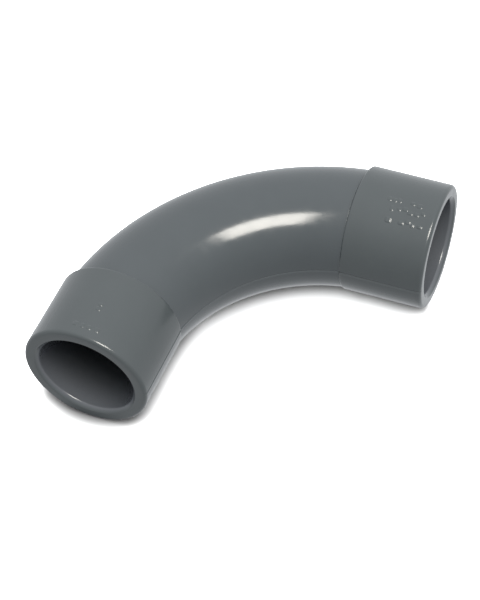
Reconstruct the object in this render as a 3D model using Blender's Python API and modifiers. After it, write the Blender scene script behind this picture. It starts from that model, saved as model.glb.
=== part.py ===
"""Grey PVC-U conduit elbow: a swept 90 degree bend with a cemented socket on each end.

The bend lies flat. The front mouth faces -Y and the side mouth faces +X. The origin is
under the middle of the elbow, on the surface that it lies on. Lengths are in metres.

Along each socket a station s counts from the tangent point, where the sweep ends and the
socket's straight axis begins: s grows towards the mouth and is negative inside the sweep.
"""

import math

import bmesh
import bpy
from mathutils import Matrix, Vector

# Conduit and socket
CONDUIT_DIAMETER = 0.0250
SOCKET_BORE_RADIUS = CONDUIT_DIAMETER / 2 + 0.0001
COLLAR_RADIUS = 0.0165
COLLAR_DRAFT = 0.0001
MOUTH_STATION = 0.0144
COLLAR_BACK_STATION = -0.0072
STOP_STATION = -0.0022
LEAD_IN = 0.00095
RIM_ROUND = 0.0010
SHOULDER_ROUND = 0.0005
SHOULDER_SLOPE = 1.6

# Swept tube
BEND_RADIUS = 0.0545
TUBE_RADIUS = 0.0156
RACEWAY_RADIUS = 0.0114

# Spigot, cement and pocket, from the inside out
SPIGOT_RADIUS = 0.0139
CEMENT_INNER_RADIUS = 0.0141
CEMENT_OUTER_RADIUS = 0.0143
POCKET_RADIUS = 0.0145
JOINT_GAP = 0.0003

# Facets
TURN_STEPS = 72
ROUND_STEPS = 4
SWEEP_STEPS = 30
SWEEP_SIDES = 48
SHARP_ANGLE = math.radians(35)

# The flat elbow's box is square, so its sweep centre is as far from the origin in X as in Y.
SWEEP_OFFSET = (BEND_RADIUS + COLLAR_RADIUS - MOUTH_STATION) / 2
SWEEP_CENTRE = Vector((SWEEP_OFFSET, -SWEEP_OFFSET, COLLAR_RADIUS))

# Each socket's local +Z runs out of its mouth, from the tangent point.
FRONT_PLACE = (Matrix.Translation(SWEEP_CENTRE + Vector((-BEND_RADIUS, 0, 0)))
               @ Matrix.Rotation(math.pi / 2, 4, "X"))
SIDE_PLACE = (Matrix.Translation(SWEEP_CENTRE + Vector((0, BEND_RADIUS, 0)))
              @ Matrix.Rotation(math.pi / 2, 4, "Y"))
ENDS = {"front": FRONT_PLACE, "side": SIDE_PLACE}


def clear_scene():
    """Remove every object, so that the script can be run again."""
    for old in list(bpy.data.objects):
        bpy.data.objects.remove(old, do_unlink=True)


def new_collection(name):
    """Return a fresh collection linked to the scene."""
    collection = bpy.data.collections.new(name)
    bpy.context.scene.collection.children.link(collection)
    return collection


def plastic(name, colour, roughness):
    """Return a Principled material of moulded plastic or cured cement."""
    material = bpy.data.materials.new(name)
    material.use_nodes = True
    shader = material.node_tree.nodes["Principled BSDF"]
    shader.inputs["Base Color"].default_value = (*colour, 1.0)
    shader.inputs["Roughness"].default_value = roughness
    shader.inputs["Metallic"].default_value = 0.0
    return material


def shade(obj):
    """Shade round faces smooth and keep real edges sharp."""
    obj.data.shade_smooth()
    obj.data.set_sharp_from_angle(angle=SHARP_ANGLE)


def bake(obj, name, collection):
    """Replace an object by a plain mesh of what its curve or its modifiers make."""
    graph = bpy.context.evaluated_depsgraph_get()
    mesh = bpy.data.meshes.new_from_object(obj.evaluated_get(graph))
    place = obj.matrix_world.copy()
    bpy.data.objects.remove(obj, do_unlink=True)
    baked = bpy.data.objects.new(name, mesh)
    baked.matrix_world = place
    collection.objects.link(baked)
    return baked


def weld(obj):
    """Merge a swept rod's loose caps into its side."""
    cage = bmesh.new()
    cage.from_mesh(obj.data)
    bmesh.ops.remove_doubles(cage, verts=cage.verts, dist=1e-6)
    bmesh.ops.recalc_face_normals(cage, faces=cage.faces)
    cage.to_mesh(obj.data)
    cage.free()


def hide_cutter(obj):
    """Show a cutter as wire only, and never render it."""
    obj.hide_render = True
    obj.display_type = "WIRE"


def combine(obj, operation, tool):
    """Add one exact Boolean to an object."""
    step = obj.modifiers.new(operation.title() + " " + tool.name, "BOOLEAN")
    step.operation = operation
    step.solver = "EXACT"
    step.object = tool


def arc(centre_r, centre_s, radius, start, end):
    """Points of a rounded corner in a turned profile, as (radius, station) pairs."""
    turns = [start + (end - start) * i / ROUND_STEPS for i in range(ROUND_STEPS + 1)]
    return [(centre_r + radius * math.cos(math.radians(turn)),
             centre_s + radius * math.sin(math.radians(turn))) for turn in turns]


def turned(name, profile, place, collection):
    """Turn a closed profile of (radius, station) pairs about a socket's axis."""
    mesh = bpy.data.meshes.new(name)
    points = [(radius, 0.0, station) for radius, station in profile]
    edges = [(i, (i + 1) % len(points)) for i in range(len(points))]
    mesh.from_pydata(points, edges, [])
    obj = bpy.data.objects.new(name, mesh)
    obj.matrix_world = place
    collection.objects.link(obj)
    turn = obj.modifiers.new("Turn", "SCREW")
    turn.axis = "Z"
    turn.angle = 2 * math.pi
    turn.steps = TURN_STEPS
    turn.render_steps = TURN_STEPS
    turn.use_merge_vertices = True
    turn.merge_threshold = 1e-6
    turn.use_smooth_shade = True
    return obj


def swept_rod(name, radius, overrun, collection):
    """Sweep a round rod along the bend's centreline, with a straight overrun past each end."""
    stations = [i / SWEEP_STEPS * math.pi / 2 for i in range(SWEEP_STEPS + 1)]
    route = [Vector((-math.cos(turn), math.sin(turn), 0)) * BEND_RADIUS for turn in stations]
    route.insert(0, route[0] + Vector((0, -overrun, 0)))
    route.append(route[-1] + Vector((overrun, 0, 0)))
    curve = bpy.data.curves.new(name, "CURVE")
    curve.dimensions = "3D"
    curve.bevel_depth = radius
    curve.bevel_resolution = SWEEP_SIDES // 2 - 2
    curve.use_fill_caps = True
    spline = curve.splines.new("POLY")
    spline.points.add(len(route) - 1)
    for point, where in zip(spline.points, route):
        point.co = (*where, 1.0)
    rod = bpy.data.objects.new(name, curve)
    rod.location = SWEEP_CENTRE
    collection.objects.link(rod)
    bpy.context.view_layer.update()
    rod = bake(rod, name, collection)
    weld(rod)
    return rod


def end_trimmer(name, place, station, collection):
    """A block that covers everything from a station out past the mouth."""
    size = 4 * COLLAR_RADIUS
    bpy.ops.mesh.primitive_cube_add(size=size)
    block = bpy.context.object
    block.name = name
    block.matrix_world = place @ Matrix.Translation((0, 0, station + size / 2))
    for holder in list(block.users_collection):
        holder.objects.unlink(block)
    collection.objects.link(block)
    hide_cutter(block)
    return block


def trimmed_sweep(name, radius, station, collection, cutters):
    """A swept rod that ends square to each socket's axis, at the given station."""
    rod = swept_rod(name, radius, JOINT_GAP, collection)
    for end, place in ENDS.items():
        combine(rod, "DIFFERENCE", end_trimmer(name + "_" + end + "_trim", place, station, cutters))
    bpy.context.view_layer.update()
    return bake(rod, name, collection)


def spigot_profile():
    """The reduced end that enters the pocket, as a ring round the raceway."""
    inner = RACEWAY_RADIUS - 4 * JOINT_GAP
    root = COLLAR_BACK_STATION - 6 * JOINT_GAP
    tip = STOP_STATION - JOINT_GAP
    return [(SPIGOT_RADIUS, tip), (SPIGOT_RADIUS, root), (inner, root), (inner, tip)]


def make_bend_body(parts, cutters):
    """The swept tube with its two spigots and the raceway through all of it."""
    body = trimmed_sweep("bend_body", TUBE_RADIUS, COLLAR_BACK_STATION, parts, cutters)
    for end, place in ENDS.items():
        spigot = turned(end + "_spigot_blank", spigot_profile(), place, cutters)
        hide_cutter(spigot)
        combine(body, "UNION", spigot)
    raceway = swept_rod("raceway_cutter", RACEWAY_RADIUS, MOUTH_STATION, cutters)
    hide_cutter(raceway)
    combine(body, "DIFFERENCE", raceway)
    return body


def socket_profile():
    """Collar, rounded rim, lead-in chamfer, bore, stop step, pocket and conical shoulder."""
    rim_radius = COLLAR_RADIUS - COLLAR_DRAFT
    rim = arc(rim_radius - RIM_ROUND, MOUTH_STATION - RIM_ROUND, RIM_ROUND, 90, 0)
    lean = math.degrees(math.atan(1 / SHOULDER_SLOPE))
    shoulder = arc(COLLAR_RADIUS - SHOULDER_ROUND, COLLAR_BACK_STATION + SHOULDER_ROUND,
                   SHOULDER_ROUND, 0, lean - 90)
    last_radius, last_station = shoulder[-1]
    foot_station = last_station - (last_radius - POCKET_RADIUS) / SHOULDER_SLOPE
    return rim + shoulder + [
        (POCKET_RADIUS, foot_station),
        (POCKET_RADIUS, STOP_STATION),
        (SOCKET_BORE_RADIUS, STOP_STATION),
        (SOCKET_BORE_RADIUS, MOUTH_STATION - LEAD_IN),
        (SOCKET_BORE_RADIUS + LEAD_IN, MOUTH_STATION),
    ]


def make_socket(end, place, clearance, parts):
    """One collar, hollowed at the back to sit over the end of the swept tube."""
    socket = turned(end + "_socket", socket_profile(), place, parts)
    combine(socket, "DIFFERENCE", clearance)
    return socket


def make_cement(end, place, parts):
    """The thin ring of cured solvent cement between a spigot and its pocket."""
    near = STOP_STATION - 2 * JOINT_GAP
    far = COLLAR_BACK_STATION + JOINT_GAP
    profile = [(CEMENT_OUTER_RADIUS, near), (CEMENT_OUTER_RADIUS, far),
               (CEMENT_INNER_RADIUS, far), (CEMENT_INNER_RADIUS, near)]
    return turned(end + "_cement", profile, place, parts)


def build():
    """Make every piece of the elbow and give each its material."""
    clear_scene()
    parts = new_collection("pvc_conduit_elbow")
    cutters = new_collection("cutters")

    body = make_bend_body(parts, cutters)
    clearance = trimmed_sweep("clearance_cutter", TUBE_RADIUS + JOINT_GAP,
                              COLLAR_BACK_STATION + JOINT_GAP, cutters, cutters)
    hide_cutter(clearance)
    pieces = {body: plastic("bend grey PVC-U", (0.135, 0.148, 0.155), 0.26)}
    for end, place in ENDS.items():
        socket = make_socket(end, place, clearance, parts)
        pieces[socket] = plastic(end + " socket grey PVC-U", (0.140, 0.153, 0.160), 0.28)
        cement = make_cement(end, place, parts)
        pieces[cement] = plastic(end + " solvent cement", (0.21, 0.22, 0.22), 0.45)
    for piece, material in pieces.items():
        piece.data.materials.clear()
        piece.data.materials.append(material)
    bpy.context.view_layer.update()
    for piece in pieces:
        if piece.data.polygons:
            shade(piece)


build()
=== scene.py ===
# %% [markdown]
# # A grey PVC-U conduit elbow
#
# This lesson dresses a fixed CAD elbow for a studio picture. The elbow is a swept 90 degree
# bend of hard grey plastic with a slightly fatter socket welded on each end, so that straight
# conduit can be glued in. It is small, 85 mm across, and everything about it is round, so the
# whole look hangs on clean curvature: how the soft box slides along the tube, how the rims
# roll over, and the thin lines that moulding and gluing leave behind.
#
# Each new piece is a grid of points worked out with numpy. One direction of the grid goes
# round a profile, the other goes round or along the piece.

# %% Load the frame
import math

import bpy
import numpy as np
from mathutils import Matrix, Vector


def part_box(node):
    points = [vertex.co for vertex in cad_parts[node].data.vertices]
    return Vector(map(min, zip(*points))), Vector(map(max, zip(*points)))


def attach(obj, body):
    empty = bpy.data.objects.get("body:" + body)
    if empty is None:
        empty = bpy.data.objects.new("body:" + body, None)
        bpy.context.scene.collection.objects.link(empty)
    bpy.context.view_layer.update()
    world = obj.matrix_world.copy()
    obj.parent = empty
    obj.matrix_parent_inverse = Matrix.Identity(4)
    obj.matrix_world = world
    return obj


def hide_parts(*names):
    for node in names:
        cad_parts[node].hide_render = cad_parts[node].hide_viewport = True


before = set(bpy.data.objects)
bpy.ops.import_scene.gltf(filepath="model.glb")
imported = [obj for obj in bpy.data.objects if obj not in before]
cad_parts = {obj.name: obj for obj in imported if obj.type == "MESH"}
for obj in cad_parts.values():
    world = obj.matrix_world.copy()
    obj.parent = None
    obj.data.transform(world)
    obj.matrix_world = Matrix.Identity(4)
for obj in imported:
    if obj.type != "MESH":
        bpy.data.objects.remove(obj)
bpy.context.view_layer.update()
MM = 0.001

# %% [markdown]
# ## Sizes taken from the frame
#
# The CAD nodes already say where everything is. The front socket runs along -Y and the side
# socket along +X. Half a socket's width is the collar's radius, its far face is the mouth,
# and half the bend's height is the tube's radius. The sweep's own radius has to be repeated
# here, and the sizes of bores, spigots and pockets further down, as no box edge shows them.

# %% Driving sizes
BEND_RADIUS = 54.5 * MM
front_low, front_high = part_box("front_socket")
side_low, side_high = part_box("side_socket")
bend_low, bend_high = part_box("bend_body")

COLLAR_RADIUS = (front_high.x - front_low.x) / 2
TUBE_RADIUS = (bend_high.z - bend_low.z) / 2
SWEEP_CENTRE = np.array([
    (front_low.x + front_high.x) / 2 + BEND_RADIUS,
    (side_low.y + side_high.y) / 2 - BEND_RADIUS,
    (bend_low.z + bend_high.z) / 2,
])
MOUTH = SWEEP_CENTRE[1] - front_low.y
SPIGOT_TIP = SWEEP_CENTRE[1] - bend_low.y
print(f"collar r {COLLAR_RADIUS / MM:.2f}, tube r {TUBE_RADIUS / MM:.2f}, mouth {MOUTH / MM:.2f} mm")
print(f"sweep centre {np.round(SWEEP_CENTRE / MM, 2)} mm, spigot tip {SPIGOT_TIP / MM:.2f} mm")

# %% [markdown]
# ## The camera
#
# A product photographer stands well back with a short telephoto, so that the round mouth
# stays round and the far socket doesn't shrink. The camera stands a little to the right of
# the front mouth, looks down at about 50 degrees, and is rolled a few degrees.

# %% Camera
CAMERA_TARGET = SWEEP_CENTRE + np.array([-27.75, 21.14, 0.0]) * MM
CAMERA_AZIMUTH = math.radians(25.4)
CAMERA_ELEVATION = math.radians(49.75)
CAMERA_ROLL = math.radians(-4.8)
CAMERA_DISTANCE = 393 * MM
CAMERA_LENS = 93.4


def direction(azimuth, elevation):
    """Unit vector: azimuth turns from -Y towards +X, elevation rises from the floor."""
    flat = math.cos(elevation)
    return np.array([math.sin(azimuth) * flat, -math.cos(azimuth) * flat, math.sin(elevation)])


def look_along(back, roll=0.0):
    """Rotation whose local +Z is back and whose +X is level, then rolled about +Z."""
    back = Vector(back).normalized()
    right = Vector((0, 0, 1)).cross(back).normalized()
    up = back.cross(right)
    level = Matrix((right, up, back)).transposed()
    return level.to_4x4() @ Matrix.Rotation(roll, 4, "Z")


camera_data = bpy.data.cameras.new("studio camera")
camera_data.lens = CAMERA_LENS
camera_data.clip_start = 0.01
camera = bpy.data.objects.new("studio camera", camera_data)
bpy.context.scene.collection.objects.link(camera)
camera_back = direction(CAMERA_AZIMUTH, CAMERA_ELEVATION)
camera.matrix_world = (Matrix.Translation(CAMERA_TARGET + camera_back * CAMERA_DISTANCE)
                       @ look_along(camera_back, CAMERA_ROLL))
bpy.context.scene.camera = camera
bpy.context.scene.view_settings.view_transform = "Standard"
print("camera at", [round(v, 3) for v in camera.location], "m")

# %% [markdown]
# ## From points to a mesh
#
# Every skin here is a closed grid: the last ring joins the first, and each ring closes on
# itself, like a rubber tube bent until its ends meet. Such a skin has no poles and no open
# edge. The faces come from index arithmetic on the whole grid at once. Whether they look
# outwards depends on which way the rings run, so the enclosed volume is worked out: when it
# comes out negative, each face's corners are taken in the other order.


# %% Skin builder
def closed_skin(name, rings):
    """Mesh whose corner (i, j) is rings[i, j]; rows and columns both wrap round.

    The volume is a sixth of the sum, over the triangles, of corner dot (corner cross corner).
    """
    rows, columns = rings.shape[:2]
    index = np.arange(rows * columns).reshape(rows, columns)
    ahead = np.roll(index, -1, axis=0)
    corners = [index, np.roll(index, -1, axis=1), np.roll(ahead, -1, axis=1), ahead]
    faces = np.stack(corners, axis=-1).reshape(-1, 4)
    points = rings.reshape(-1, 3)
    a, b, c, d = (points[faces[:, k]] for k in range(4))
    volume = (np.cross(a, b) * c + np.cross(a, c) * d).sum() / 6
    if volume < 0:
        faces = faces[:, ::-1]
    mesh = bpy.data.meshes.new(name)
    mesh.from_pydata(points, [], faces)
    mesh.shade_smooth()
    piece = bpy.data.objects.new(name, mesh)
    bpy.context.scene.collection.objects.link(piece)
    print(f"{name}: {rows} x {columns} grid, {2 * len(faces)} triangles, {abs(volume) / MM ** 3:.0f} mm3")
    return piece


def crowd(start, stop, count, windows, push=6.0):
    """Values from start to stop that crowd inside windows, a list of (centre, half width).

    A density of 1 plus push inside each window is summed up, and the sum is cut evenly.
    """
    fine = np.linspace(start, stop, 4001)
    density = np.ones_like(fine)
    for centre, half in windows:
        density += push * (np.abs(fine - centre) < half)
    total = np.concatenate([[0], np.cumsum((density[1:] + density[:-1]) / 2)])
    return np.interp(np.linspace(0, total[-1], count), total, fine)


def bump_line(offset, width):
    """Bell curve: 1 on the line and fading over the width either side."""
    return np.exp(-(offset / width) ** 2)


def ease(value, low, high):
    """Smooth step from 0 at low to 1 at high."""
    t = np.clip((value - low) / (high - low), 0, 1)
    return t * t * (3 - 2 * t)


# %% [markdown]
# ## Where things are on the elbow
#
# A point on the swept tube is named by its turn along the sweep and by an angle round the
# tube, which starts at the outside of the bend and passes over the top. A point on a socket
# is named by its station, the distance along the socket's axis, and by the same angle. The
# two meet at the tangent point, where the turn is 0 or 90 degrees and the station is 0.

# %% Places
UPRIGHT = np.array([0.0, 0.0, 1.0])
ENDS = {
    "front": {"axis": np.array([0.0, -1, 0]), "outward": np.array([-1.0, 0, 0])},
    "side": {"axis": np.array([1.0, 0, 0]), "outward": np.array([0.0, 1, 0])},
}


def on_sweep(turn, around, radius):
    """Centre of the sweep, plus bend radius outward, plus tube radius round the section."""
    turn, around, radius = np.broadcast_arrays(turn, around, radius)
    outward = np.stack([-np.cos(turn), np.sin(turn), np.zeros_like(turn)], axis=-1)
    reach = BEND_RADIUS + radius * np.cos(around)
    return SWEEP_CENTRE + outward * reach[..., None] + UPRIGHT * (radius * np.sin(around))[..., None]


def on_socket(end, station, around, radius):
    """Tangent point, plus the station along the axis, plus the radius round the axis."""
    station, around, radius = np.broadcast_arrays(station, around, radius)
    axis, outward = ENDS[end]["axis"], ENDS[end]["outward"]
    start = SWEEP_CENTRE + BEND_RADIUS * outward
    across = outward * (radius * np.cos(around))[..., None]
    return start + axis * station[..., None] + across + UPRIGHT * (radius * np.sin(around))[..., None]


# %% [markdown]
# ## The mould's parting line
#
# The bend and the collars come out of a steel mould whose two halves meet on the plane of
# the bend. Where they meet, a fine line stays on the plastic, all along the inside and the
# outside of the bend. Here it is a groove with a hair of flash just under it, and from above
# that reads as a dark line with a lighter edge.

# %% Parting line height
GROOVE_DEPTH = 0.20 * MM
GROOVE_WIDTH = 0.17 * MM
FLASH_HEIGHT = 0.045 * MM
FLASH_WIDTH = 0.13 * MM
FLASH_DROP = 0.32 * MM


def parting_height(around, radius):
    """Bell shaped flash just under the parting plane, less a bell shaped groove on the plane."""
    above_plane = np.sin(around) * radius
    flash = FLASH_HEIGHT * bump_line(above_plane + FLASH_DROP, FLASH_WIDTH)
    return flash - GROOVE_DEPTH * bump_line(above_plane, GROOVE_WIDTH)


around_line = np.linspace(-0.05, 0.05, 201)
line_heights = parting_height(around_line, TUBE_RADIUS)
print(f"parting line from {line_heights.min() / MM:.3f} to {line_heights.max() / MM:.3f} mm")

# %% [markdown]
# ## The bend
#
# The tube could be a bevelled curve, but its ends need square shoulders and reduced spigots,
# and it is hollow. So one closed grid goes along the outside from the front to the side,
# over the shoulder, out along the side spigot, in round its tip, back through the raceway,
# and out at the front in the same way.

# %% Bend
PARTING_ANGLES = (0.0, math.pi)
BEND_COLUMNS = 201
BEND_WINDOW = 0.05
BEND_PUSH = 16.0
bend_windows = [(angle, BEND_WINDOW) for angle in PARTING_ANGLES]
AROUND = crowd(-math.pi / 2, 1.5 * math.pi, BEND_COLUMNS, bend_windows, BEND_PUSH)[:-1]
COLLAR_BACK = -7.2 * MM
SPIGOT_RADIUS = 13.9 * MM
RACEWAY_RADIUS = 11.4 * MM
TIP_BREAK = 0.25 * MM
SWEEP_ROWS = 150


def turn_at_station(station, around, radius):
    """Turn of the point whose distance from the tangent plane is minus the station."""
    return np.arcsin(-station / (BEND_RADIUS + radius * np.cos(around)))


def sweep_rows(radius, station, rows):
    """Grid on the swept tube that ends square to both sockets, at the given station."""
    first = turn_at_station(station, AROUND, radius)
    share = np.linspace(0, 1, rows)[:, None]
    turns = first + (math.pi / 2 - 2 * first) * share
    return turns, np.broadcast_to(AROUND, turns.shape)


def spigot_rows(end):
    """Rings from the shoulder out along the spigot, round its tip and into the raceway."""
    profile = [
        (SPIGOT_RADIUS, COLLAR_BACK),
        (SPIGOT_RADIUS, COLLAR_BACK / 2 + SPIGOT_TIP / 2),
        (SPIGOT_RADIUS, SPIGOT_TIP - TIP_BREAK),
        (SPIGOT_RADIUS - TIP_BREAK, SPIGOT_TIP),
        (RACEWAY_RADIUS + TIP_BREAK, SPIGOT_TIP),
        (RACEWAY_RADIUS, SPIGOT_TIP - TIP_BREAK),
    ]
    return [on_socket(end, station, AROUND, radius) for radius, station in profile]


def make_bend():
    """Outside of the tube, side spigot, raceway and front spigot as one closed grid."""
    turns, around = sweep_rows(TUBE_RADIUS, COLLAR_BACK, SWEEP_ROWS)
    outside = on_sweep(turns, around, TUBE_RADIUS + parting_height(around, TUBE_RADIUS))
    turns, around = sweep_rows(RACEWAY_RADIUS, SPIGOT_TIP - 3 * TIP_BREAK, SWEEP_ROWS // 2)
    inside = on_sweep(turns, around, RACEWAY_RADIUS)
    side = np.stack(spigot_rows("side"))
    front = np.stack(spigot_rows("front"))
    return closed_skin("bend_tube", np.concatenate([outside, side, inside[::-1], front[::-1]]))


bend = make_bend()

# %% [markdown]
# ## A profile with rounded corners
#
# A moulded collar has no knife edges. Its outline is given as a few corners, each with its
# own rounding, and every corner is swapped for an arc that touches both of its lines.


# %% Rounded profile
def rounded_corner(before, corner, after, radius, steps):
    """Arc that touches both lines at a corner: its centre lies on the corner's bisector."""
    before, corner, after = (np.array(p, float) for p in (before, corner, after))
    to_before = (before - corner) / np.linalg.norm(before - corner)
    to_after = (after - corner) / np.linalg.norm(after - corner)
    half = math.acos(float(np.clip(to_before @ to_after, -1, 1))) / 2
    middle = (to_before + to_after) / np.linalg.norm(to_before + to_after)
    centre = corner + middle * radius / math.sin(half)
    first = corner + to_before * radius / math.tan(half) - centre
    last = corner + to_after * radius / math.tan(half) - centre
    share = np.linspace(0, 1, steps)[:, None]
    sweep = math.acos(float(np.clip(first @ last / radius ** 2, -1, 1)))
    return centre + (first * np.sin((1 - share) * sweep) + last * np.sin(share * sweep)) / math.sin(sweep)


def rounded_profile(corners):
    """Chain of rounded corners; the first and last entries only give the lines' directions."""
    arcs = []
    for before, corner, after in zip(corners, corners[1:], corners[2:]):
        arcs.append(rounded_corner(before[:2], corner[:2], after[:2], corner[2], corner[3]))
    return arcs


# %% [markdown]
# ## Raised size marks
#
# Fittings carry small raised marks on the collar, which are cut into the mould. Here they
# stand 0.15 mm proud, and they are a plain scatter of dots and short strokes with no meaning.
# Separate little domes would do, but the real ones are one skin with the collar, so they are
# added to the collar's radius: each mark is a flat-topped bump round a short line, and it
# glints where its edge faces the soft box.

# %% Mark relief
MARK_HEIGHT = 0.15 * MM
MARK_RADIUS = 0.36 * MM
MARK_EDGE = 0.20 * MM
MARK_NUDGE = 0.2
LONGEST_STROKE = 0.36 * MM
KEPT_SHARE = 0.78


def mark_relief(arc_length, station, marks):
    """Flat-topped bumps: full height near each mark's line, easing off over its edge.

    A mark is (arc length, station, half length along the arc, half length along the axis).
    """
    relief = np.zeros(np.broadcast(arc_length, station).shape)
    for mark_arc, mark_station, half_arc, half_station in marks:
        away_arc = np.maximum(np.abs(arc_length - mark_arc) - half_arc, 0)
        away_station = np.maximum(np.abs(station - mark_station) - half_station, 0)
        away = np.hypot(away_arc, away_station)
        relief = np.maximum(relief, 1 - ease(away, MARK_RADIUS - MARK_EDGE, MARK_RADIUS + MARK_EDGE))
    return relief * MARK_HEIGHT


def stamped_marks(arc_centre, station_centre, columns, rows, pitch, seed):
    """Dots and strokes on a loose grid: each is nudged, and about a fifth is left out."""
    chance = np.random.default_rng(seed)
    marks = []
    for column in range(columns):
        for row in range(rows):
            nudge = chance.uniform(-MARK_NUDGE, MARK_NUDGE, 2) * pitch
            place = arc_centre + (row - (rows - 1) / 2) * pitch[0] + nudge[0]
            station = station_centre + (column - (columns - 1) / 2) * pitch[1] + nudge[1]
            half_arc, half_station = chance.uniform(0, LONGEST_STROKE, 2)
            if chance.random() < KEPT_SHARE:
                marks.append((place, station, half_arc, half_station))
    return marks


SIDE_ANGLE, SIDE_STATION = math.radians(107.5), 6.0 * MM
SIDE_PITCH = np.array([2.8, 1.55]) * MM
FRONT_ROW_ANGLE, FRONT_ROW_STATION = math.radians(97), 11.0 * MM
FRONT_PAIR_ANGLE, FRONT_PAIR_STATION = math.radians(93), 4.4 * MM
FRONT_PITCH = np.array([1.7, 1.4]) * MM
MARKS = {
    "side": stamped_marks(SIDE_ANGLE * COLLAR_RADIUS, SIDE_STATION,
                          columns=7, rows=3, pitch=SIDE_PITCH, seed=5),
    "front": (stamped_marks(FRONT_ROW_ANGLE * COLLAR_RADIUS, FRONT_ROW_STATION,
                            columns=1, rows=5, pitch=FRONT_PITCH, seed=3)
              + stamped_marks(FRONT_PAIR_ANGLE * COLLAR_RADIUS, FRONT_PAIR_STATION,
                              columns=2, rows=2, pitch=FRONT_PITCH, seed=8)),
}
print({end: len(marks) for end, marks in MARKS.items()}, "raised marks")

# %% [markdown]
# ## The gate mark
#
# Plastic enters the mould through a small hole, the gate. Where it was twisted off, a shallow
# ring with a low button inside stays on the front collar.

# %% Gate relief
GATE_ANGLE = math.radians(160)
GATE_STATION = 7.0 * MM
GATE_RADIUS = 0.6 * MM
GATE_DEPTH = 0.04 * MM


def gate_relief(arc_length, station):
    """A ring shaped groove: a bell curve on the distance from the gate's circle."""
    away = np.hypot(arc_length - GATE_ANGLE * COLLAR_RADIUS, station - GATE_STATION)
    button = GATE_DEPTH * bump_line(away, GATE_RADIUS / 2)
    return button - GATE_DEPTH * bump_line(away - GATE_RADIUS, GATE_RADIUS / 4)


print(f"gate ring {2 * GATE_RADIUS / MM:.1f} mm across, {GATE_DEPTH / MM:.2f} mm deep")

# %% [markdown]
# ## The collar's foot
#
# Behind each collar a cone runs down to the tube. The tube is already bending there, so the
# cone meets it further back on the outside of the bend than on the inside, and the foot is
# not a flat ring. Where it lies has no neat formula, but it is easy to close in on: halve the
# span between a point outside the tube and one inside it, for all angles at once.

# %% Foot of the collar
SHOULDER_SLOPE = 1.6
FOOT_GAP = 0.05 * MM
CONE_REACH = 2.5 * MM
HALVINGS = 40


def clear_of_tube(station, around, radius):
    """Distance of a socket point from the tube's skin: distance from its centreline, less radius."""
    reach = np.hypot(BEND_RADIUS + radius * np.cos(around), station)
    return np.hypot(reach - BEND_RADIUS, radius * np.sin(around)) - TUBE_RADIUS - FOOT_GAP


def close_in(outside, inside, value):
    """Halve the span between outside and inside until value is zero there."""
    for _ in range(HALVINGS):
        middle = (outside + inside) / 2
        is_outside = value(middle) > 0
        outside = np.where(is_outside, middle, outside)
        inside = np.where(is_outside, inside, middle)
    return (outside + inside) / 2


def foot_station(around, cone_radius, cone_station):
    """Station where the cone, which loses SHOULDER_SLOPE of radius a step back, meets the tube."""
    def cone_value(station):
        return clear_of_tube(station, around, cone_radius + (station - cone_station) * SHOULDER_SLOPE)
    far = np.full_like(around, cone_station - CONE_REACH)
    return close_in(np.full_like(around, cone_station), far, cone_value)


def pocket_mouth_radius(around, station):
    """Radius round the socket's axis where the tube's skin crosses a flat station."""
    def ring_value(radius):
        return clear_of_tube(station, around, radius)
    return close_in(np.full_like(around, COLLAR_RADIUS), np.full_like(around, SPIGOT_RADIUS), ring_value)


# %% [markdown]
# ## The sockets
#
# A socket is a turned part, so its profile could go through a Screw modifier. But its foot,
# its parting line and its marks all change with the angle, so it is a grid again: rings from
# the bore out over the lead-in chamfer, the flat face and the rolled rim, back along the
# collar, down the cone to the foot, and home through the hidden pocket.

# %% Sockets
BORE_RADIUS = 12.6 * MM
LEAD_IN = 0.95 * MM
BORE_ROUND, BORE_STEPS = 0.8 * MM, 8
LEAD_ROUND, LEAD_STEPS = 0.25 * MM, 6
RIM_ROUND, RIM_STEPS = 1.0 * MM, 14
SHOULDER_ROUND, SHOULDER_STEPS = 0.5 * MM, 8
COLLAR_DRAFT = 0.1 * MM
STOP_STATION = -2.2 * MM
POCKET_RADIUS = 14.5 * MM
COLLAR_ROWS = 120
CONE_RINGS = 5
SOCKET_COLUMNS = 401
SOCKET_WINDOW = 0.03
# Where the grid is finer, as (centre, half width): windows by angle, then by station.
MARK_WINDOWS = {
    "front": ([(FRONT_ROW_ANGLE, 0.33), (GATE_ANGLE, 0.06)],
              [(FRONT_ROW_STATION, 1.0 * MM), (FRONT_PAIR_STATION, 1.6 * MM)]),
    "side": ([(SIDE_ANGLE, 0.30)], [(SIDE_STATION, 6.2 * MM)]),
}


def collar_relief(end, around, station):
    """Everything that stands on a collar: parting line, raised marks and the gate."""
    arc_length = around * COLLAR_RADIUS
    relief = parting_height(around, COLLAR_RADIUS) + mark_relief(arc_length, station, MARKS[end])
    if end == "front":
        relief = relief + gate_relief(arc_length, station)
    return relief


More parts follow.
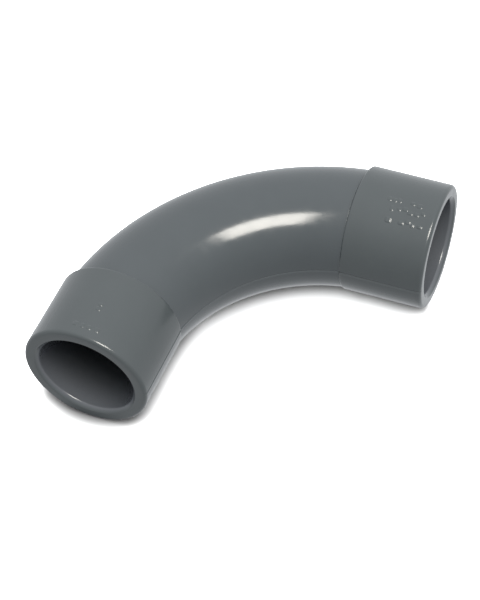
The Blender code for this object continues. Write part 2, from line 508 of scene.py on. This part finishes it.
def make_socket(end):
    """Bore, lead-in, face, rim, collar with its relief, cone, foot and pocket as one grid."""
    angle_windows, station_windows = MARK_WINDOWS[end]
    windows = [(angle, SOCKET_WINDOW) for angle in PARTING_ANGLES] + angle_windows
    around = crowd(-math.pi / 2, 1.5 * math.pi, SOCKET_COLUMNS, windows)[:-1]
    rim_radius = COLLAR_RADIUS - COLLAR_DRAFT
    lead, face, rim, shoulder = rounded_profile([
        (BORE_RADIUS, STOP_STATION),
        (BORE_RADIUS, MOUTH - LEAD_IN, BORE_ROUND, BORE_STEPS),
        (BORE_RADIUS + LEAD_IN, MOUTH, LEAD_ROUND, LEAD_STEPS),
        (rim_radius, MOUTH, RIM_ROUND, RIM_STEPS),
        (COLLAR_RADIUS, COLLAR_BACK, SHOULDER_ROUND, SHOULDER_STEPS),
        (COLLAR_RADIUS - SHOULDER_SLOPE * MM, COLLAR_BACK - MM),
    ])
    (rim_r, rim_s), (back_r, back_s) = rim[-1], shoulder[0]
    stations = crowd(back_s, rim_s, COLLAR_ROWS, station_windows)[::-1][1:-1]
    collar = np.stack([np.interp(stations, [back_s, rim_s], [back_r, rim_r]), stations], axis=-1)
    outline = np.concatenate([lead, face, rim, collar, shoulder])
    radii, places = outline[:, :1], outline[:, 1:]
    on_collar = ease(radii, BORE_RADIUS + 2 * LEAD_IN, rim_radius)
    relief = collar_relief(end, around[None, :], places) * on_collar
    rings = [on_socket(end, places, around[None, :], radii + relief)]

    cone_r, cone_s = shoulder[-1]
    foot_s = foot_station(around, cone_r, cone_s)
    foot_r = cone_r + (foot_s - cone_s) * SHOULDER_SLOPE
    shares = np.linspace(1 / CONE_RINGS, 1, CONE_RINGS)[:, None]
    cone_places = cone_s + (foot_s - cone_s) * shares
    cone_radii = cone_r + (foot_r - cone_r) * shares
    rings.append(on_socket(end, cone_places, around[None, :], cone_radii))
    step_station = COLLAR_BACK + 2 * FOOT_GAP
    rings.append(on_socket(end, step_station, around, pocket_mouth_radius(around, step_station))[None])
    for radius, station in [(POCKET_RADIUS, step_station), (POCKET_RADIUS, STOP_STATION),
                            (BORE_RADIUS, STOP_STATION)]:
        rings.append(on_socket(end, station, around, radius)[None])
    socket = closed_skin(end + "_collar", np.concatenate(rings))
    return socket, around, foot_s, foot_r


sockets = {end: make_socket(end) for end in ENDS}
for end, (_, _, foot_s, _) in sockets.items():
    print(f"{end} foot lies {-foot_s.max() / MM:.2f} to {-foot_s.min() / MM:.2f} mm behind the tangent point")

# %% [markdown]
# ## Solvent cement
#
# The spigot is brushed with solvent cement and pushed home. The cement melts both skins and
# sets as a thin film, and a little of it is squeezed out at the foot, where it is left as a
# fine uneven bead, a little paler than the plastic. Film and bead are two skins per joint.

# %% Cement
BEAD_RADIUS = 0.045 * MM
BEAD_SIDES = 12
BEAD_SWELLS = ((0.22, 3, 1), (0.14, 8, 2), (0.08, 19, 0))  # (size, times round, start)
FILM_CLEAR = 0.02 * MM
FILM_COLUMNS = 144


def make_film(end):
    """Four rings that fill the room between the spigot and its pocket."""
    near, far = SPIGOT_TIP - 2 * TIP_BREAK, COLLAR_BACK + 4 * FOOT_GAP
    profile = [(POCKET_RADIUS - FILM_CLEAR, near), (POCKET_RADIUS - FILM_CLEAR, far),
               (SPIGOT_RADIUS + FILM_CLEAR, far), (SPIGOT_RADIUS + FILM_CLEAR, near)]
    around = np.linspace(0, 2 * math.pi, FILM_COLUMNS + 1)[:-1]
    rings = np.stack([on_socket(end, station, around, radius) for radius, station in profile])
    return closed_skin(end + "_cement_film", rings)


def make_bead(end, around, foot_s, foot_r):
    """A small round section carried along the foot, its radius swollen by a few sine waves."""
    swell = 1 + sum(size * np.sin(times * around + start) for size, times, start in BEAD_SWELLS)
    section = np.linspace(0, 2 * math.pi, BEAD_SIDES + 1)[:-1][:, None]
    stations = foot_s + BEAD_RADIUS * swell * np.sin(section)
    radii = foot_r + BEAD_RADIUS * swell * np.cos(section)
    return closed_skin(end + "_cement_bead", on_socket(end, stations, around[None, :], radii))


cement = []
for end, (socket, around, foot_s, foot_r) in sockets.items():
    film = make_film(end)
    bead = make_bead(end, around, foot_s, foot_r)
    cement += [film, bead]
    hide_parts(end + "_cement")
    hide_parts(end + "_socket")
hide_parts("bend_body")

# %% [markdown]
# ## Materials
#
# Colours are written as the sRGB hex values a designer would pick, and one function turns
# them into the linear numbers that the shader wants. One more function adds a node, fills in
# its settings and joins its inputs.


# %% Colour and node helpers
def linear(hex_colour):
    """sRGB hex to linear RGBA: divide by 12.92 near black, else the 2.4 power law."""
    parts = [int(hex_colour[i:i + 2], 16) / 255 for i in (1, 3, 5)]
    return tuple(p / 12.92 if p <= 0.04045 else ((p + 0.055) / 1.055) ** 2.4 for p in parts) + (1.0,)


def add_node(tree, kind, links=None, sockets=None, **settings):
    """Add a node, set its properties and input values, and link its inputs to outputs."""
    node = tree.nodes.new(kind)
    for name, value in settings.items():
        setattr(node, name, value)
    for name, value in (sockets or {}).items():
        node.inputs[name].default_value = value
    for name, output in (links or {}).items():
        tree.links.new(output, node.inputs[name])
    return node


def new_material(name):
    """Empty node material with only its output."""
    material = bpy.data.materials.new(name)
    material.use_nodes = True
    tree = material.node_tree
    tree.nodes.clear()
    return material, tree, add_node(tree, "ShaderNodeOutputMaterial")


# %% [markdown]
# ### Injection moulded PVC-U
#
# Hard, unplasticised PVC takes the polish of its mould: a dark slate grey body colour under a
# clear, slightly soft gloss. Three things keep it from looking like a flat grey: a faint
# cloudiness of the pigment where the melt flowed, a skin that is not quite flat, so that a
# reflection wobbles over a few millimetres, and a gloss that changes a little from place to
# place. The bores were shaped by steel cores, which leave the skin a little duller; their
# paler colour is painted light that lifts the dark inside of each bore.
# The refractive index is 1.54.

# %% PVC-U
PVC_IOR = 1.54
# The bore's paler colour is painted light that lifts the inside of the bore.
BORE_PAINTED_LIGHT_COLOUR = "#515459"
BORE_HAZE = 0.02
CLOUD_SIZE = 9 * MM     # drifts of pigment where the melt flowed
HAZE_SIZE = 2.5 * MM    # patches that are a little more or less glossy
WOBBLE_SIZE = 3 * MM    # slow waves in the skin
GRAIN_SIZE = 0.35 * MM  # fine texture of the mould's steel, drawn coarse enough to show
WOBBLE_HEIGHT = 0.02 * MM
GRAIN_HEIGHT = 0.004 * MM
GLOSS_DROP, GLOSS_RISE = 0.03, 0.04


def mark_bore(piece):
    """Store 1 inside the bore and 0 outside, from each point's distance to the centreline."""
    points = np.empty(3 * len(piece.data.vertices), dtype=np.float32)
    piece.data.vertices.foreach_get("co", points)
    x, y, z = (points.reshape(-1, 3) - SWEEP_CENTRE).T
    across = np.where(y < 0, -x, np.where(x > 0, y, np.hypot(x, y))) - BEND_RADIUS
    inside = 1 - ease(np.hypot(across, z), BORE_RADIUS + 0.2 * MM, BORE_RADIUS + LEAD_IN)
    piece.data.attributes.new("bore", "FLOAT", "POINT").data.foreach_set("value", inside)


def moulded_pvc(name, dark, light, gloss):
    """Clouded pigment and uneven gloss on a wavy, finely grained skin; inside the bore a paler colour is
    painted light.
    """
    material, tree, output = new_material(name)
    place = add_node(tree, "ShaderNodeTexCoord").outputs["Object"]
    cloud = add_node(tree, "ShaderNodeTexNoise", {"Vector": place},
                     {"Scale": 1 / CLOUD_SIZE, "Detail": 3.0, "Roughness": 0.5})
    colour = add_node(tree, "ShaderNodeMix", {0: cloud.outputs["Fac"]}, data_type="RGBA")
    colour.inputs[6].default_value = linear(dark)
    colour.inputs[7].default_value = linear(light)
    haze = add_node(tree, "ShaderNodeTexNoise", {"Vector": place},
                    {"Scale": 1 / HAZE_SIZE, "Detail": 4.0, "Roughness": 0.6})
    rough = add_node(tree, "ShaderNodeMapRange", {"Value": haze.outputs["Fac"]},
                     {"From Min": 0.3, "From Max": 0.7, "To Min": gloss - GLOSS_DROP,
                      "To Max": gloss + GLOSS_RISE})
    wobble = add_node(tree, "ShaderNodeTexNoise", {"Vector": place},
                      {"Scale": 1 / WOBBLE_SIZE, "Detail": 2.0, "Roughness": 0.5})
    wave = add_node(tree, "ShaderNodeBump", {"Height": wobble.outputs["Fac"]},
                    {"Strength": 0.35, "Distance": WOBBLE_HEIGHT})
    grain = add_node(tree, "ShaderNodeTexNoise", {"Vector": place},
                     {"Scale": 1 / GRAIN_SIZE, "Detail": 2.0, "Roughness": 0.5})
    skin = add_node(tree, "ShaderNodeBump",
                    {"Height": grain.outputs["Fac"], "Normal": wave.outputs["Normal"]},
                    {"Strength": 0.25, "Distance": GRAIN_HEIGHT})
    bore = add_node(tree, "ShaderNodeAttribute", attribute_name="bore").outputs["Fac"]
    # Inside the bore the colour is painted light, paler than the plastic.
    body = add_node(tree, "ShaderNodeMix", {0: bore, 6: colour.outputs[2]}, {7: linear(BORE_PAINTED_LIGHT_COLOUR)},
                    data_type="RGBA")
    gloss_or_haze = add_node(tree, "ShaderNodeMath", {0: bore, 2: rough.outputs["Result"]}, {1: BORE_HAZE},
                             operation="MULTIPLY_ADD")
    shader = add_node(tree, "ShaderNodeBsdfPrincipled",
                      {"Base Color": body.outputs[2], "Roughness": gloss_or_haze.outputs["Value"],
                       "Normal": skin.outputs["Normal"]},
                      {"IOR": PVC_IOR, "Metallic": 0.0})
    tree.links.new(shader.outputs["BSDF"], output.inputs["Surface"])
    return material


bend_pvc = moulded_pvc("injection moulded slate grey PVC-U, bend", "#3b4043", "#404548", 0.16)
socket_pvc = moulded_pvc("injection moulded slate grey PVC-U, socket", "#3c4143", "#414648", 0.18)
for piece in [bend] + [entry[0] for entry in sockets.values()]:
    mark_bore(piece)
print("bores marked on", 1 + len(sockets), "pieces")

# %% [markdown]
# ### Cured solvent cement
#
# Clear cement that has dissolved some of the grey plastic dries to a slightly paler, waxy
# grey with tiny bubbles and a soft gloss.

# %% Cement finish
BUBBLE_SIZE = 0.6 * MM  # bubbles and pits in the dried bead
BUBBLE_HEIGHT = 0.02 * MM
CEMENT_IOR = 1.5

cement_finish, tree, output = new_material("cured clear solvent cement over grey PVC-U")
place = add_node(tree, "ShaderNodeTexCoord").outputs["Object"]
bubbles = add_node(tree, "ShaderNodeTexNoise", {"Vector": place}, {"Scale": 1 / BUBBLE_SIZE, "Detail": 3.0})
tint = add_node(tree, "ShaderNodeMix", {0: bubbles.outputs["Fac"]}, data_type="RGBA")
tint.inputs[6].default_value = linear("#3f4446")
tint.inputs[7].default_value = linear("#585d60")
beads = add_node(tree, "ShaderNodeBump", {"Height": bubbles.outputs["Fac"]},
                 {"Strength": 0.4, "Distance": BUBBLE_HEIGHT})
waxy = add_node(tree, "ShaderNodeBsdfPrincipled",
                {"Base Color": tint.outputs[2], "Normal": beads.outputs["Normal"]},
                {"Roughness": 0.3, "IOR": CEMENT_IOR})
tree.links.new(waxy.outputs["BSDF"], output.inputs["Surface"])

# %% [markdown]
# ### Who wears what
#
# Every piece gets its finish and rides on the one body, as nothing moves. The CAD nodes that
# the pieces stand in for get the same finishes, so that either model looks right.

# %% Give every piece its finish and its body
finishes = {bend: (bend_pvc, "bend_pvc")}
for socket, *_ in sockets.values():
    finishes[socket] = (socket_pvc, "socket_pvc")
for piece in cement:
    finishes[piece] = (cement_finish, "solvent_cement")
for piece, (finish, slot_name) in finishes.items():
    piece.data.materials.append(finish)
    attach(piece, "root")
for name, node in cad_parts.items():
    node.data.materials.clear()
    cad_finish = bend_pvc if name == "bend_body" else socket_pvc
    node.data.materials.append(cement_finish if name.endswith("cement") else cad_finish)
print(len(finishes), "pieces finished,", len(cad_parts), "CAD nodes finished")

# %% [markdown]
# ## The sheet
#
# A white sheet lies under the elbow and fills the view. In a studio it is overexposed until
# it burns out to pure white. A sheet that bright would flood the glossy underside with light,
# which a photographer stops with black card beside the lens. Here the sheet is simply left
# out of reflections and of bounced light, and the room below the horizon stands in for it.

# %% Sheet
SHEET_SIZE = 6.0
PAPER_COLOUR = "#e9e9e9"


def stage_piece(name, points, faces, made_of):
    """Flat stage piece of an empty material, which blocks no light."""
    mesh = bpy.data.meshes.new(name)
    mesh.from_pydata(points, [], faces)
    piece = bpy.data.objects.new(name, mesh)
    bpy.context.scene.collection.objects.link(piece)
    material, tree, output = new_material(made_of)
    mesh.materials.append(material)
    piece.visible_shadow = False
    return piece, tree, output


half = SHEET_SIZE / 2
corners = [(-half, -half, 0), (half, -half, 0), (half, half, 0), (-half, half, 0)]
floor, tree, output = stage_piece("studio sheet", corners, [(0, 1, 2, 3)], "matt white paper")
paper = add_node(tree, "ShaderNodeBsdfPrincipled", None,
                 {"Base Color": linear(PAPER_COLOUR), "Roughness": 0.9, "Specular IOR Level": 0.2})
tree.links.new(paper.outputs["BSDF"], output.inputs["Surface"])
floor.visible_glossy = False
floor.visible_diffuse = False
print(f"sheet {SHEET_SIZE:.0f} m across")

# %% [markdown]
# ### The contact shadow
#
# Where the elbow almost touches the sheet, hardly any light gets in. On a sheet this bright
# that contact shadow would drown, so it is painted back as a dark strip that follows the
# elbow: dense under its middle, and fading to nothing past its edges. The glossy underside
# mirrors the strip, so there it is also a painted dark reflection. The strip is a flat grid:
# along its length it follows the front axis, then the sweep, then the side axis, and its
# density is stored at each grid point.
#
# The inner edge is listed at a few places, because it is wider under the fat collars
# than under the tube. The outer edge comes in at the side mouth, and the front edge is a
# parabola round the front mouth.

# %% Contact shadow
SHADE_HEIGHT = 0.02 * MM
SHADE_ALONG = np.linspace(-22, 102, 125) * MM
SHADE_ACROSS = np.linspace(-18, 22, 41) * MM
SHADE_FADE = 4.0 * MM
SHADE_DENSITY = 0.95
SWEEP_LENGTH = BEND_RADIUS * math.pi / 2
SHADE_OUTER_ALONG = np.array([84, 92, 100]) * MM
SHADE_OUTER = np.array([17.0, 2.0, -7.0]) * MM
SHADE_INNER_ALONG = np.array([-14, 0, 8, 14, 28, 62, 74, 81, 93, 99]) * MM
SHADE_INNER = np.array([12.3, 12.1, 11.5, 10.5, 7.3, 7.0, 7.0, 8.2, 8.4, 8.6]) * MM
SHADE_FRONT, SHADE_FRONT_MIDDLE, SHADE_FRONT_CURVE = 16.5 * MM, 1.5 * MM, 0.022 / MM
SHADE_SIDE, SHADE_SIDE_FADE = SWEEP_LENGTH + MOUTH + 0.4 * MM, 1.4 * MM


def beside_path(along, offset, height):
    """Sweep centre, plus bend radius and offset outward, plus what runs past either tangent."""
    turn = np.clip(along / BEND_RADIUS, 0, math.pi / 2)
    outward = np.stack([-np.cos(turn), np.sin(turn), np.zeros_like(turn)], axis=-1)
    before = np.minimum(along, 0)[..., None] * -ENDS["front"]["axis"]
    after = np.maximum(along - SWEEP_LENGTH, 0)[..., None] * ENDS["side"]["axis"]
    points = SWEEP_CENTRE + outward * (BEND_RADIUS + offset)[..., None] + before + after
    points[..., 2] = height
    return points


def fade_out(value, edge, fade):
    """1 well below the edge, easing to 0 well above it."""
    return 1 - ease(value, edge - fade, edge + fade)


along, offset = np.meshgrid(SHADE_ALONG, SHADE_ACROSS, indexing="ij")
inner_edge = np.interp(along, SHADE_INNER_ALONG, SHADE_INNER)
outer_edge = np.interp(along, SHADE_OUTER_ALONG, SHADE_OUTER)
front_edge = SHADE_FRONT - SHADE_FRONT_CURVE * (offset - SHADE_FRONT_MIDDLE) ** 2
density = SHADE_DENSITY * fade_out(-offset, inner_edge, SHADE_FADE) * fade_out(offset, outer_edge, SHADE_FADE)
density *= fade_out(-along, front_edge, SHADE_FADE) * fade_out(along, SHADE_SIDE, SHADE_SIDE_FADE)
print(f"contact shadow: densest {density.max():.2f}, {(density > SHADE_DENSITY / 2).mean():.0%} of it dark")

# %% [markdown]
# ### The painted shadow strip
#
# The strip is so thin that it needs no thickness. Its shader lets light through where the
# stored density is low and shows a black painted shadow where it is high.

# %% Painted shadow strip
# Colour of the painted contact shadow, which the underside also mirrors as a painted dark reflection.
PAINTED_SHADOW_COLOUR = "#303030"

index = np.arange(along.size).reshape(along.shape)
painted_shadow_faces = np.stack([index[:-1, :-1], index[1:, :-1], index[1:, 1:], index[:-1, 1:]], axis=-1)
painted_shadow_points = beside_path(along, offset, SHADE_HEIGHT).reshape(-1, 3)
painted_shadow_strip, tree, output = stage_piece("contact shadow", painted_shadow_points, painted_shadow_faces.reshape(-1, 4), "painted contact shadow")
painted_shadow_strip.data.attributes.new("shade", "FLOAT", "POINT").data.foreach_set("value", density.ravel())
dark = add_node(tree, "ShaderNodeBsdfDiffuse", None, {"Color": linear(PAINTED_SHADOW_COLOUR)})
clear = add_node(tree, "ShaderNodeBsdfTransparent")
how_dense = add_node(tree, "ShaderNodeAttribute", attribute_name="shade").outputs["Fac"]
# Painted shade: where the stored density is high, the black shader covers the sheet.
painted_shade_mix = add_node(tree, "ShaderNodeMixShader", {0: how_dense, 1: clear.outputs[0], 2: dark.outputs[0]})
tree.links.new(painted_shade_mix.outputs[0], output.inputs["Surface"])
print(len(painted_shadow_points), "points of gauze")

# %% [markdown]
# ## The lights
#
# One soft box stands to the right of the camera and above it. Its reflection is the long
# warm streak on top of the tube, so its size and place are chosen for where that streak should
# begin and end. It lights the elbow only, so it throws no shadow on the sheet. Everything
# else is the room: a little brighter overhead and behind the elbow, and darker in front,
# which draws the lighter edges at the back and the deep grey in front.

# %% Soft box
BOX_DIRECTION = direction(math.radians(50), math.radians(64))
BOX_DISTANCE = 1.0
BOX_SIZE = (0.52, 0.36)
BOX_SHIFT = (0.036, 0.0)
BOX_ROLL = math.radians(-10)
BOX_WATTS = 10.4
BOX_COLOUR = (1.0, 0.965, 0.89)


def area_light(name, back, distance, size, watts, colour, lights_only):
    """Soft light seen from the sweep centre in direction back, which lights only some objects."""
    data = bpy.data.lights.new(name, "AREA")
    data.shape = "RECTANGLE"
    data.size, data.size_y = size
    data.energy = watts
    data.color = colour
    light = bpy.data.objects.new(name, data)
    bpy.context.scene.collection.objects.link(light)
    light.matrix_world = Matrix.Translation(Vector(SWEEP_CENTRE + back * distance)) @ look_along(back)
    lit = bpy.data.collections.new(name + " lights these")
    for thing in lights_only:
        lit.objects.link(thing)
    light.light_linking.receiver_collection = lit
    return light


soft_box = area_light("soft box", BOX_DIRECTION, BOX_DISTANCE, BOX_SIZE, BOX_WATTS, BOX_COLOUR,
                      list(finishes))
soft_box.matrix_world = (soft_box.matrix_world @ Matrix.Translation((*BOX_SHIFT, 0))
                         @ Matrix.Rotation(BOX_ROLL, 4, "Z"))
print("soft box at", [round(v, 2) for v in soft_box.matrix_world.translation], "m")

# %% [markdown]
# ### The light over the sheet
#
# The sheet has a wide lamp of its own, straight above, which touches nothing else. It is so
# broad that light reaches far under the elbow's belly, and it burns the paper out.

# %% Sheet light
SHEET_LIGHT_SIZE = (2.4, 2.4)
SHEET_LIGHT_WATTS = 115.0
SHEET_LIGHT_COLOUR = (1.0, 1.0, 1.0)
SHEET_LIGHT_DIRECTION = direction(0.0, math.radians(89))

sheet_light = area_light("sheet light", SHEET_LIGHT_DIRECTION, BOX_DISTANCE, SHEET_LIGHT_SIZE,
                         SHEET_LIGHT_WATTS, SHEET_LIGHT_COLOUR, [floor])
print("sheet light at", [round(v, 2) for v in sheet_light.matrix_world.translation], "m")

# %% [markdown]
# ### The room
#
# The world shader knows only the direction it is seen in. The room's brightness is a middle
# value, plus a part that grows evenly towards a point high up behind the elbow, plus a part
# that grows with the square of the height. So the ceiling is brightest, the light that comes
# up off the table is less bright, and it is darkest just below the front horizon.

# %% Room
ROOM_MIDDLE = 0.875
ROOM_BACK = 0.34
ROOM_HEIGHT = 0.24
ROOM_COLOUR = "#f3f6f9"
BACK_DIRECTION = direction(math.radians(-166), math.radians(40))

world = bpy.data.worlds.new("studio room")
bpy.context.scene.world = world
world.use_nodes = True
room_tree = world.node_tree
room = room_tree.nodes["Background"]
room.inputs["Color"].default_value = linear(ROOM_COLOUR)
looking = add_node(room_tree, "ShaderNodeTexCoord").outputs["Generated"]
back = add_node(room_tree, "ShaderNodeVectorMath", {0: looking}, {1: BACK_DIRECTION},
                operation="DOT_PRODUCT")
height = add_node(room_tree, "ShaderNodeVectorMath", {0: looking}, {1: UPRIGHT}, operation="DOT_PRODUCT")
squared = add_node(room_tree, "ShaderNodeMath", {0: height.outputs["Value"], 1: height.outputs["Value"]},
                   operation="MULTIPLY")
from_back = add_node(room_tree, "ShaderNodeMath", {0: back.outputs["Value"]},
                     {1: ROOM_BACK, 2: ROOM_MIDDLE}, operation="MULTIPLY_ADD")
glow = add_node(room_tree, "ShaderNodeMath", {0: squared.outputs["Value"], 2: from_back.outputs["Value"]},
                {1: ROOM_HEIGHT}, operation="MULTIPLY_ADD")
room_tree.links.new(glow.outputs["Value"], room.inputs["Strength"])
for name, way in [("overhead", UPRIGHT), ("back", direction(math.pi, 0.0)), ("front", direction(0.0, 0.0))]:
    brightness = ROOM_MIDDLE + ROOM_BACK * (way @ BACK_DIRECTION) + ROOM_HEIGHT * way[2] ** 2
    print(f"room {name}: {brightness:.2f}")
